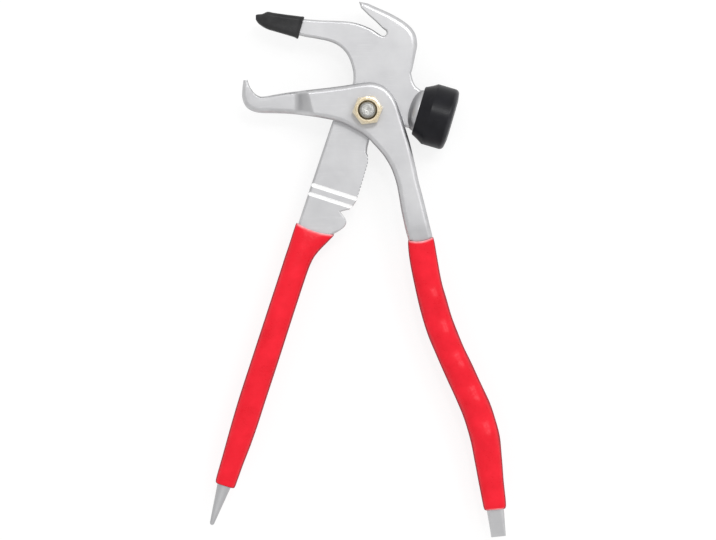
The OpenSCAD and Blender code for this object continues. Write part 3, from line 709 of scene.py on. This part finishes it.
# %% Grind the shear edge
def bevel_cutter(width=2.0):
    """A triangle carried along behind the shear edge, with its slanted side at 45 degrees to the faces."""
    line = spline([(-6.4, -46.1)] + SHEAR + [(-0.1, -20)], 6)
    inward = turned(unit(np.gradient(line, axis=0)))
    low = FACE - width
    corners = np.array([(-0.8, low - 0.8), (width + 1, low + width + 1), (-0.8, low + width + 1)])
    plan = line[:, None] + inward[:, None] * corners[None, :, :1]
    rings = np.dstack([plan, np.repeat(-corners[None, :, 1], len(line), 0)])
    return stacked("bevel cutter", rings, 0.0, [plated])


def serration_cutters(pitch=1.6, depth=0.5):
    """One upright wedge for each serration, side by side along the shear edge."""
    line = spline(SHEAR, 3)
    run = np.concatenate([[0], np.cumsum(np.linalg.norm(np.diff(line, axis=0), axis=1))])
    count = int(run[-1] / pitch) - 1
    at = (np.arange(count) + 0.7) * run[-1] / count
    place, ahead = (np.stack([np.interp(at + on, run, line[:, k]) for k in (0, 1)], -1) for on in (0, 0.2))
    way = unit(ahead - place)
    wedge = np.array([(0, depth), (-pitch / 2.2, -0.3), (pitch / 2.2, -0.3)])
    plan = place[:, None] + way[:, None] * wedge[None, :, :1] + turned(way)[:, None] * wedge[None, :, 1:]
    tall = np.stack([np.dstack([plan, np.full(plan.shape[:2], z)]) for z in (-5.0, 5.0)], 1)
    faces, one = [], ring_faces(2, 3, False) + [[0, 1, 2], [3, 4, 5]]
    for tooth in range(count):
        faces += [[i + 6 * tooth for i in face] for face in one]
    return piece_from("serration cutters", tall.reshape(-1, 3), faces, np.zeros(6 * count), [plated])


cut(main_lever, serration_cutters())
cut(main_lever, bevel_cutter())

# %% [markdown]
# The hammer's neck widens into a domed collar that the nylon cap seats against. It is turned about the
# hammer's axis, which leans, so its rings are drawn upright and then laid along that axis.

# %% Collar
DOME_H = 5.4


def add_shell(piece, other):
    """Adds a closed skin to the piece's mesh as it is. The two overlap, and neither is cut by the other."""
    both = bmesh.new()
    both.from_mesh(piece.data)
    both.from_mesh(other.data)
    both.to_mesh(piece.data)
    both.free()
    bpy.data.objects.remove(other)


def along_hammer(rings):
    """Lays a turned part's rings, drawn about an upright axis, along the hammer's axis."""
    x, y, u = rings[..., 0], rings[..., 1], rings[..., 2]
    return np.dstack([on_hammer(np.stack([u, y], -1)), -x])


dome = np.radians(np.linspace(8, 90, 20))
dome_profile = np.column_stack([
    COLLAR_R * np.sin(dome), COLLAR_AT - DOME_H * np.cos(dome) * (1 - 0.15 * np.cos(dome))])
dome_edge = np.zeros((len(dome), 1))
dome_edge[-1] = 1.0
add_shell(main_lever, stacked("collar", along_hammer(lathe(dome_profile, 72)), dome_edge, [plated]))
settle(main_lever, "main_side", ["main_lever"])

# %% [markdown]
# ## Nut and bolt
# A hexagon is a radius that depends on the angle: half the width across flats over the cosine of the
# angle from the nearest flat. A cone then takes the corners off both faces, which leaves the curved
# chamfer lines of a real nut. The bolt's end shows one turn or two of thread: a radius that dips
# once for each pitch of height, wound round by the angle.

# %% Hexagons
FACE_SHARE = 0.97
CHAMFER_SLOPE = 0.55


def hexagon_rings(levels, across_flats=13.0, corner=7.47, turn=8.0, sides=96):
    """Rings from levels (kind, height, fall, edge). Kind is a plain radius, "side" for the hexagon or "face"
    for a circle of FACE_SHARE of the width across flats. A side's height moves by fall times
    CHAMFER_SLOPE for each 1 that it is outside that circle, which draws a nut's curved chamfer lines."""
    t = np.radians(np.arange(sides) * 360 / sides)
    off = (np.degrees(t) + 30) % 60 - 30
    hexagon = np.minimum(across_flats / 2 / np.cos(np.radians(off)), corner)
    flat = across_flats / 2 * FACE_SHARE
    radii = {"side": hexagon, "face": flat}
    way = t + math.radians(turn + 30)
    rings, edges = [], []
    for kind, height, fall, edge in levels:
        z = height + fall * CHAMFER_SLOPE * (hexagon - flat) * (kind == "side")
        rings.append(around(radii.get(kind, kind), way, z))
        edges.append(np.full(sides, edge))
    return np.array(rings), np.array(edges)


# %% Nut
NUT_Z = FACE + GAP + LEVER_T + GAP
NUT_TOP = NUT_Z + 6.5
BOLT_TOP = NUT_TOP + 1.5
CHAMFER = 0.35
HOLE_R = 4.06
nut_levels = [
    (HOLE_R, NUT_Z + 0.5, 0, 0.0), (4.5, NUT_Z, 0, 0.3), ("face", NUT_Z, 0, 0.6), ("side", NUT_Z, 1, 0.8),
    ("side", NUT_Z + CHAMFER, 1, 0.1), ("side", NUT_TOP - CHAMFER, -1, 0.1), ("side", NUT_TOP, -1, 0.9),
    ("face", NUT_TOP, 0, 0.7), (5.6, NUT_TOP, 0, 0.1), (4.75, NUT_TOP, 0, 0.5),
    (HOLE_R, NUT_TOP - 0.6, 0, 0.2),
]
nut = stacked("pivot_nut_hexagon", *hexagon_rings(nut_levels), [zinc], closed=True)
settle(nut, "main_side", ["pivot_nut"])


# %% Bolt
BOLT_R = 3.98
THREAD_FROM = NUT_TOP - 0.5
CORE_R = 3.62


def threaded_rings(low, high, radius=BOLT_R, pitch=1.25, depth=0.62, sides=96, step=0.12):
    """Threaded stretch: radius less depth times a wave that rises and falls once for each pitch, wound by
    the angle, and never outside the end's 45 degree chamfer."""
    t = np.arange(sides) * 2 * math.pi / sides
    z = np.arange(low, high, step)
    phase = (z[:, None] / pitch - t[None] / (2 * math.pi)) % 1
    valley = np.clip(1.2 - np.abs(phase - 0.5) * 3.2, 0, 1)
    r = np.minimum(radius - depth * valley, np.maximum(radius - 1.1 + (high - z)[:, None], 1.0))
    return around(r, t, z[:, None])


HEAD_Z = -FACE - GAP / 2
HEAD_LOW = HEAD_Z - 5.3
head_levels = [
    (0.4, HEAD_LOW, 0, 0.1), (5.4, HEAD_LOW, 0, 0.1), ("face", HEAD_LOW, 0, 0.7),
    ("side", HEAD_LOW, 1, 0.9), ("side", HEAD_LOW + CHAMFER, 1, 0.1), ("side", HEAD_Z - CHAMFER, 0, 0.1),
    ("side", HEAD_Z, 0, 0.6), (4.0, HEAD_Z, 0, 0.0), (BOLT_R, NUT_TOP - 0.6, 0, 0.0),
]
head_rings, head_edge = hexagon_rings(head_levels)
thread = threaded_rings(THREAD_FROM, BOLT_TOP)
end_rings = lathe([(2.75, BOLT_TOP), (1.9, BOLT_TOP - 0.06), (1.1, BOLT_TOP - 0.16), (0.4, BOLT_TOP - 0.2)])
bolt_rings = np.concatenate([head_rings, thread, end_rings])
bolt_edge = np.concatenate([head_edge, np.full(thread.shape[:2], 0.4), np.full(end_rings.shape[:2], 0.6)])
bolt = stacked("pivot_bolt_threaded", bolt_rings, bolt_edge, [zinc, thread_painted_shade, cut_end])
middles = np.array([face.center for face in bolt.data.polygons]) / MM - PIVOT
off_axis = np.hypot(middles[:, 0], middles[:, 1])
# Index 1, the threaded stretch, takes the thread's painted shade; index 2 is the cut end.
coat = np.where(middles[:, 2] < THREAD_FROM, 0, np.where(off_axis < CORE_R, 2, 1))
bolt.data.polygons.foreach_set("material_index", coat.astype(np.int32))
settle(bolt, "main_side", ["pivot_bolt"])
# The cap hides the stud, which stays the CAD node and only takes this finish.
for held in frame["nodes"]["hammer_stud"].material_slots:
    held.material = zinc

# %% [markdown]
# ## The hammer cap
# The striking cap is turned about the hammer's axis: a conical shoulder, a straight side and a nearly
# flat face with a round rim. It is hollow for the stud, and one profile line draws inside and outside.

# %% Turn the cap
CAP_R, CAP_L, SHOULDER = 15.1, 16.7, 5.8
RIM_R, RIM_TURN = 2.2, 80
HOLLOW_R, HOLLOW_DEEP = 2.55, 8
SEAT = COLLAR_AT + 0.05
rim = arc((CAP_R - RIM_R, CAP_L - RIM_R), RIM_R, 0, RIM_TURN, 14)
cap_profile = np.vstack([
    [(0.4, HOLLOW_DEEP), (HOLLOW_R, HOLLOW_DEEP), (HOLLOW_R, 0), (COLLAR_R - 0.3, 0), (COLLAR_R, 0.02)],
    arc((COLLAR_R + 0.9, 1.3), 1.35, -100, -40, 6),
    spline([(COLLAR_R + 2.1, 0.9), (CAP_R - 1.4, SHOULDER - 2.2), (CAP_R, SHOULDER)], 8),
    [(CAP_R, SHOULDER + 4)], rim, [(CAP_R - 5, CAP_L + 0.5), (0.4, CAP_L + 0.5)]])
cap_profile[:, 1] += SEAT
in_rim = np.zeros(len(cap_profile))
in_rim[-2 - len(rim) : -2] = np.sin(np.radians(np.linspace(0, RIM_TURN, len(rim)) * 2))
cap = stacked("hammer_cap_nylon", along_hammer(lathe(cap_profile, 128)), in_rim[:, None], [nylon])
settle(cap, "main_side", ["hammer_cap"])

# %% [markdown]
# ## The jaw boot
# A dipped rubber boot keeps the jaw from scratching a painted rim. Its sections are rounded
# rectangles that follow the jaw, close to a blunt tip and stop at a slightly thicker lip.

# %% Loft the boot
# A knot is how far along the boot it is, its lower and upper edge, and its share of the thickness. The
# open end leans, and the lip is a wave in the size of the first rings.
BOOT_OPEN, BOOT_L, BOOT_T = -31.2, 23.0, 8.6
BOOT_STEPS = 6
LIP_H, LIP_AT, LIP_WIDE = 0.25, 5, 3.5
along, low, high, share = np.array([
    (0, 35.3, 45.5, 1), (0.04, 35.4, 45.6, 1), (0.12, 35.9, 46, 1), (0.38, 37.2, 46.8, 1),
    (0.62, 38.8, 47.6, 1), (0.75, 39.7, 48.1, 1), (0.86, 41, 47.1, 0.92), (0.95, 42.6, 46.9, 0.8),
    (1, 44.2, 46.6, 0.6),
]).T
x = BOOT_OPEN - along * BOOT_L
lean = np.maximum(1 - along / 0.38, 0)
boot_knots = np.column_stack([x - 2.5 * lean, low, x + 0.5 * lean, high, 0 * x, BOOT_T * share])
rows = station_rows(boot_knots, BOOT_STEPS)
lip = LIP_H * np.exp(-(((np.arange(len(rows)) - LIP_AT) / LIP_WIDE) ** 2))
boot_w, boot_t = widths(rows) + 2 * lip, rows[:, 5] + 2 * lip
boot_outer, boot_edge = rounded_sections(boot_w, boot_t, 2.2)
inner_rows = rows[: 6 * BOOT_STEPS]
boot_inner, _ = rounded_sections(widths(inner_rows) - 2.5, 6.2, 0.7)
boot_rings = np.concatenate([carried(rows, boot_outer)[::-1], carried(inner_rows, boot_inner)])
boot_edges = np.zeros(boot_rings.shape[:2])
boot_edges[: len(rows)] = 0.6 * boot_edge
boot = stacked("jaw_boot_rubber", boot_rings, boot_edges, [rubber])
settle(boot, "main_side", ["jaw_boot"])

# %% [markdown]
# ## The sleeves
# Each handle is pushed into a dipped vinyl sleeve. A sleeve is a closed skin: down the outside from
# the mouth, in at the end, back up the inside a little clear of the steel, and out over the lip. The
# sections are soft ovals. Along the hook sleeve five gentle swells sit on the side where the
# fingers close, and they show in the light as a row of soft gleams.

# %% Ovals
# OVAL_N points make an oval. The mouth's rim dips by MOUTH_DIP in the middle.
OVAL_N = 64
SLEEVE_T = 12.6
MOUTH_DIP = 1.5


def ovals(width, thick, power, lobe=0.0):
    """Soft ovals: x = w/2 sign(cos) |cos|^(2/p) and z likewise with the sine. lobe raises the upper side
    by that much where it faces 60 degrees up from the outer edge."""
    t = np.arange(OVAL_N) * 2 * math.pi / OVAL_N
    w, h, p, q = columns(width, width, thick, power, lobe)
    cos, sin = np.cos(t)[None], np.sin(t)[None]
    swell = q * np.maximum(np.cos(t - math.radians(60)), 0)[None]
    x = (w / 2 + 0.12 * swell) * np.sign(cos) * np.abs(cos) ** (2 / p)
    z = (h / 2 + swell) * np.sign(sin) * np.abs(sin) ** (2 / p)
    return np.stack([x, z], -1)


def faded(rows, steps):
    """A share that falls from 1 at the mouth to 0 after that many stations."""
    return np.maximum(1 - np.arange(len(rows)) / steps, 0)


def mouth_bow(rows, steps):
    """Bow of the first rings: the rim's sides stand higher than its middle, and this fades in steps."""
    return MOUTH_DIP * faded(rows, steps) / (widths(rows) / 2) ** 2


def sleeve(name, outer, inner, inner_power, mouth_steps, lobe=0.0):
    """Closed skin from the outer stations, from mouth to end, and the inner ones, from end to mouth. The
    rims are rounded by drawing the outer rings in, by 0.35 mm at the mouth and 0.5 mm at the end, and over
    the first mouth_steps stations the ovals go from squarer and bowed to plain."""
    w, t = widths(outer), outer[:, 5]
    s = np.arange(len(outer))
    draw = 0.35 * np.exp(-s / 1.2) + 0.5 * np.exp(-(len(outer) - 1 - s) / 1.6)
    outer_power = 2.4 + 1.6 * faded(outer, mouth_steps)
    ring = ovals(w - 2 * draw, t - 2 * draw, outer_power, lobe)
    skin = carried(outer, ring, mouth_bow(outer, mouth_steps))
    wall = carried(inner, ovals(widths(inner), inner[:, 5], inner_power))
    from_mouth = np.linalg.norm(outer[:, 0:2] - outer[0, 0:2], axis=1)
    edge = np.concatenate([np.clip(1.2 - from_mouth / 0.9, 0, 1), np.zeros(len(inner))])
    edge[len(outer) - 2 : len(outer) + 1] = 0.5
    edge[-1] = 1.0
    rings = np.concatenate([skin, wall[::-1]])
    return stacked(name, rings, edge[:, None], [vinyl], closed=True, smooth_below=50)


# %% Main sleeve
# A knot is the distance down the handle, the left edge, the right edge and the thickness.
main_knots = [
    (MOUTH, -6.1, 13.6, 10), (1.2, -6.1, 11.2, 11), (7.5, -6.1, 7.9, 11.8), (13.2, -6.2, 6.7, 12.3),
    (21, -6.2, 6.4, SLEEVE_T), (40, -6.3, 6.3, SLEEVE_T), (61, -6.4, 6.3, SLEEVE_T),
    (83, -6.5, 6.2, SLEEVE_T), (95, -6.3, 6.2, 12.1), (106, -5.9, 5.9, 11.6), (116, -5.5, 5.3, 10.9),
    (125, -5.2, 5, 10.2), (GRIP_END - 0.8, -4.9, 4.8, 9.7), (GRIP_END, -4.5, 4.3, 8.8),
]


def handle_rows(knots, steps):
    """Stations along the straight handle: both edges are measured from its middle line."""
    k = np.asarray(knots, float)
    left, right = on_handle(k[:, [0, 1]]), on_handle(k[:, [0, 2]])
    return station_rows(np.column_stack([left, right, 0 * k[:, 0], k[:, 3]]), steps)


main_outer = handle_rows(main_knots, STEPS)
main_inner = handle_rows([
    (MOUTH + 0.2, -5.05, 12.75, 6.2), (-1.2, -5.05, 11.2, 6.2), (1, -5, 9.4, 6.2), (6, -4.8, 6.8, 6.2),
    (12, -4.6, 5.1, 6.2), (19, -4.45, 4.5, 6.2), (40, -4.3, 4.4, 6.2), (TANG_END, -3.5, 3.3, 6.8),
    (GRIP_END, -4.0, 3.2, 7.1)], 6)
main_power = np.linspace(9, 2.2, len(main_inner))
main_sleeve = sleeve("main_grip_vinyl", main_outer, main_inner, main_power, mouth_steps=16)
settle(main_sleeve, "main_side", ["main_grip"])

# %% Hook sleeve
# The skin is SLEEVE_T thick, less THIN at each station. Its inside follows the tang, CLEAR of both
# edges, and ends at the station INNER_END.
THIN = np.array([2.8, 1.2, 0, 0, 0, 0, 0, 0, 0, 0, 0.9, 1.3, 2.2, 3.6])
INNER_END = (57.8, -193.9, 66.3, -193.1, 0, 5.4)
CLEAR = 0.15
SWELL_H, SWELL_PITCH, SWELL_FROM, SWELLS = 0.85, 16.5, -84.2, 5
hook_outer = station_rows(np.column_stack([SLEEVE, RISE, SLEEVE_T - THIN]), STEPS)
tang = np.array(tang_stations())
hook_inner = station_rows(np.column_stack([tang[:, :5], tang[:, 5] + 0.4]), 6)
clear = CLEAR * unit(hook_inner[:, 2:4] - hook_inner[:, 0:2])
hook_inner[:, 0:2] -= clear
hook_inner[:, 2:4] += clear
hook_inner = np.vstack([hook_inner, INNER_END])
through = (SWELL_FROM - (hook_outer[:, 1] + hook_outer[:, 3]) / 2) / SWELL_PITCH
swells = np.where((through < 0) | (through > SWELLS), 0, SWELL_H * (1 - np.cos(2 * math.pi * through)))
hook_sleeve = sleeve("hook_grip_vinyl", hook_outer, hook_inner, 7.0, mouth_steps=12, lobe=swells)
settle(hook_sleeve, "hook_side", ["hook_grip"])

# %% [markdown]
# ## Light, floor and camera
# A product picture on white: one large soft lamp high on the right, a small one behind it for the
# gleams on nylon and vinyl, a sky that is bright overhead and a little darker low on the left, and a
# white floor. Satin metal only shows what it mirrors, so the sky's fall from light to dark is what
# models the rounded edges.

# %% Floor
WHITE = (0.80, 0.80, 0.80, 1.0)
GLOW, GLOW_SHARE = 1.1, 0.72
FAR = 3


def paper_white():
    """Floor finish: mostly plain white for what the camera sees, the rest lit as paper is, so that the
    object's shadow stays. Everything else is lit by the paper alone."""
    material = bpy.data.materials.new("paper white")
    material.use_nodes = True
    tree = material.node_tree
    paper = tree.nodes["Principled BSDF"]
    feed(tree, paper, {"Base Color": WHITE, "Roughness": 0.9, "Specular IOR Level": 0.0})
    glow = put(tree, "Emission", {"Color": (1, 1, 1, 1), "Strength": GLOW})
    rays = put(tree, "LightPath").outputs
    seen = math_node(tree, "MAXIMUM", rays["Is Camera Ray"], rays["Is Transmission Ray"])
    share = math_node(tree, "MULTIPLY", seen, GLOW_SHARE)
    mix = put(tree, "MixShader", {0: share, 1: paper.outputs[0], 2: glow.outputs[0]})
    feed(tree, tree.nodes["Material Output"], {"Surface": mix.outputs[0]})
    return material


floor_corners = [(-FAR, -FAR, 0), (FAR, -FAR, 0), (FAR, FAR, 0), (-FAR, FAR, 0)]
floor_mesh = bpy.data.meshes.new("floor")
floor_mesh.from_pydata(floor_corners, [], [(0, 1, 2, 3)])
floor_mesh.materials.append(paper_white())
floor = placed("floor", floor_mesh)
print("floor", 2 * FAR, "m wide")

# %% Sky
KEY_FROM = unit(np.array([0.45, 0.5, 0.9]))
SKY_LOW, SKY_HIGH = 0.80, 0.95


def soft_sky():
    """Sky = low + (high - low) times how far a direction leans to the lamp; white to the camera."""
    world = bpy.data.worlds.new("soft sky")
    bpy.context.scene.world = world
    world.use_nodes = True
    tree = world.node_tree
    place = put(tree, "TexCoord").outputs["Generated"]
    lean = put(tree, "VectorMath", {0: place, 1: KEY_FROM.tolist()}, operation="DOT_PRODUCT").outputs["Value"]
    level = put(tree, "MapRange", {"Value": lean, "From Min": -0.2, "From Max": 0.95,
                                   "To Min": SKY_LOW, "To Max": SKY_HIGH}, interpolation_type="SMOOTHSTEP")
    to_camera = put(tree, "LightPath").outputs["Is Camera Ray"]
    strength = toward(tree, to_camera, level.outputs["Result"], 1.0)
    feed(tree, tree.nodes["Background"], {"Color": (1, 1, 1, 1), "Strength": strength})


soft_sky()
print("sky from", SKY_LOW, "to", SKY_HIGH)


# %% Lamps
def lamp(name, place, size, power):
    """Square soft lamp at a place in metres, aimed at the tool."""
    light = bpy.data.lights.new(name, "AREA")
    light.size = size
    light.energy = power
    holder = placed(name, light)
    holder.location = place
    aim = -unit(np.array(place, float))
    down = math.acos(-aim[2])
    holder.rotation_euler = (down, 0, math.atan2(aim[1], aim[0]) - math.pi / 2)


lamp("key", (KEY_FROM * 2.6).tolist(), size=0.7, power=10.5)
lamp("strip", (0.28, 0.94, 2.4), size=0.36, power=8.0)
print("lamps:", [light.name for light in bpy.data.lights])

# %% [markdown]
# The camera looks straight down. Its lens is worked out so that, at the height VIEW_Z, one pixel of a
# picture WIDE by HIGH shows MM_PER_PIXEL, and its place so that the bolt falls on PIVOT_PIXEL.

# %% Camera
WIDE, HIGH = 716, 540
PIVOT_PIXEL = (367.5, 110.8)
MM_PER_PIXEL = 0.485
VIEW_Z = 0.018
CAMERA_Z = 2.4
SENSOR = 36.0
camera_data = bpy.data.cameras.new("camera")
camera_data.sensor_width = SENSOR
camera_data.lens = SENSOR * (CAMERA_Z - VIEW_Z) / (WIDE * MM_PER_PIXEL * MM)
camera_data.clip_end = 20
camera = placed("camera", camera_data)
camera.location = (
    (PIVOT[0] - (PIVOT_PIXEL[0] - WIDE / 2) * MM_PER_PIXEL) * MM,
    (PIVOT[1] + (PIVOT_PIXEL[1] - HIGH / 2) * MM_PER_PIXEL) * MM,
    CAMERA_Z,
)
bpy.context.scene.camera = camera
bpy.context.scene.view_settings.view_transform = "Standard"
print("camera at", [round(v, 4) for v in camera.location], "lens", round(camera_data.lens, 1))
